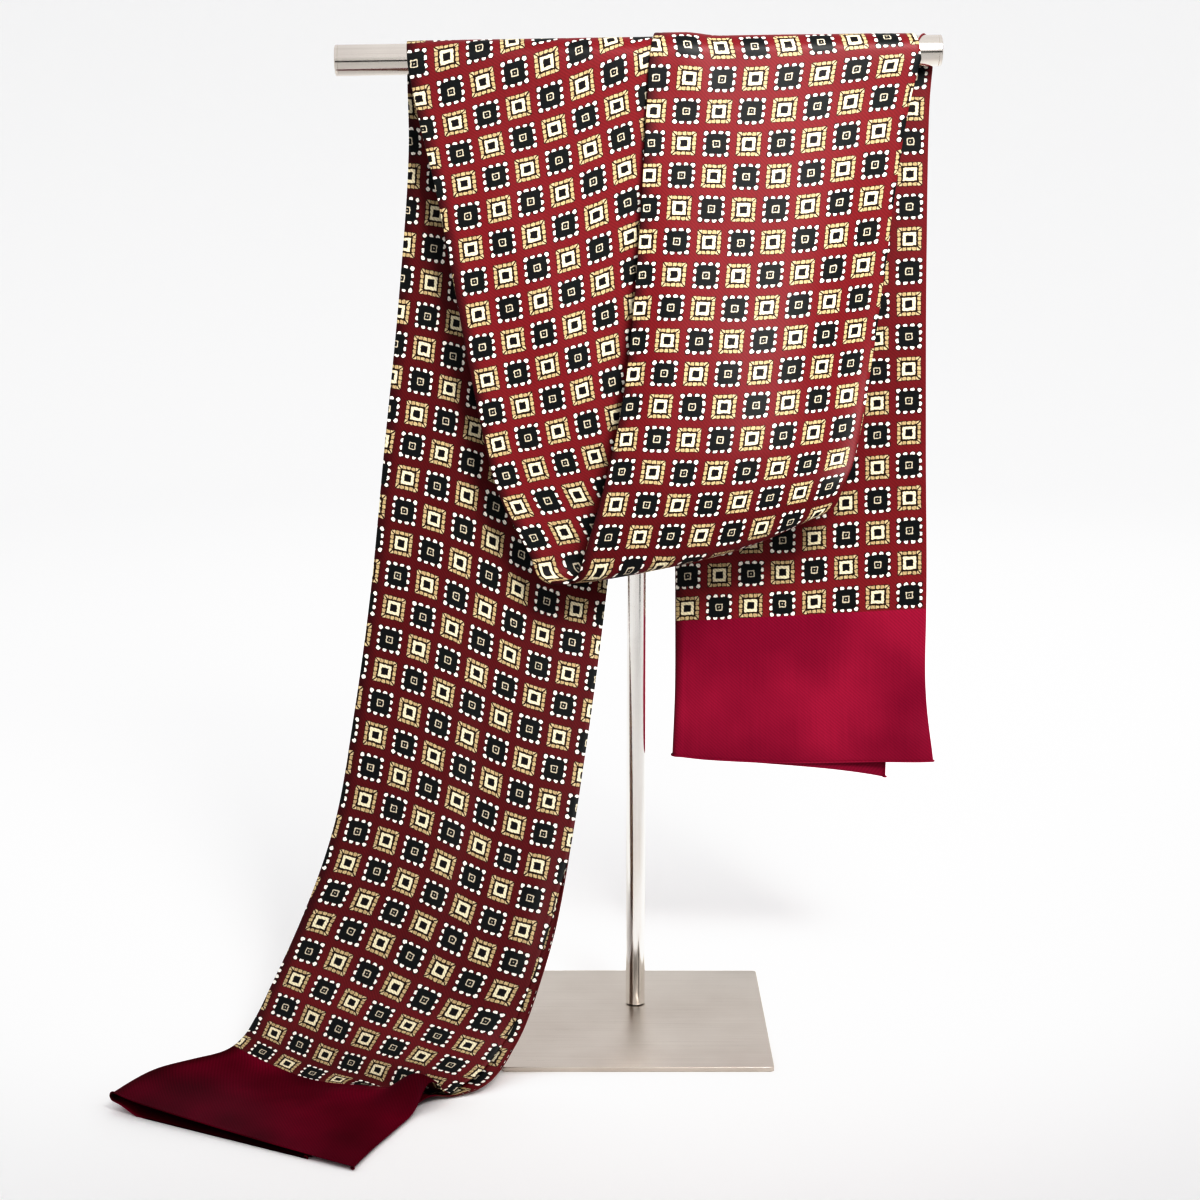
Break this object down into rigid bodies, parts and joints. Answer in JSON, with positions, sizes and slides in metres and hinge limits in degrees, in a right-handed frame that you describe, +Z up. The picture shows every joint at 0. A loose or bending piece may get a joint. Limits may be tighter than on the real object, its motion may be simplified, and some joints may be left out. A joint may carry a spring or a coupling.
{
  "type": "silk scarf on display stand",
  "caption": "Long printed silk scarf folded lengthwise and draped over a T-shaped steel display stand, its plain ends lying on the floor and hanging behind the crossbar.",
  "frame": {"origin": "centre of the underside of the square base plate, on the floor", "axes": "+Z up, +X to the viewer's right along the crossbar, -Y towards the viewer"},
  "size_m": [0.4793, 0.29, 0.5993],
  "materials": {
    "satin_steel": "satin brushed",
    "printed_silk": "woven silk twill, printed, soft sheen",
    "plain_silk": "woven silk twill, plain crimson, soft sheen"
  },
  "bodies": {
    "root": {"base_plate": "satin_steel", "upright": "satin_steel", "crossbar": "satin_steel", "bar_cap_left": "satin_steel", "bar_cap_right": "satin_steel", "scarf_floor_end": "plain_silk", "scarf_left_tail": "printed_silk", "scarf_left_crossing": "printed_silk", "scarf_left_fall": "printed_silk", "scarf_swag_turn": "printed_silk", "scarf_right_fall": "printed_silk", "scarf_right_crossing": "printed_silk", "scarf_right_tail": "printed_silk", "scarf_hanging_end": "plain_silk"}
  },
  "joints": []
}
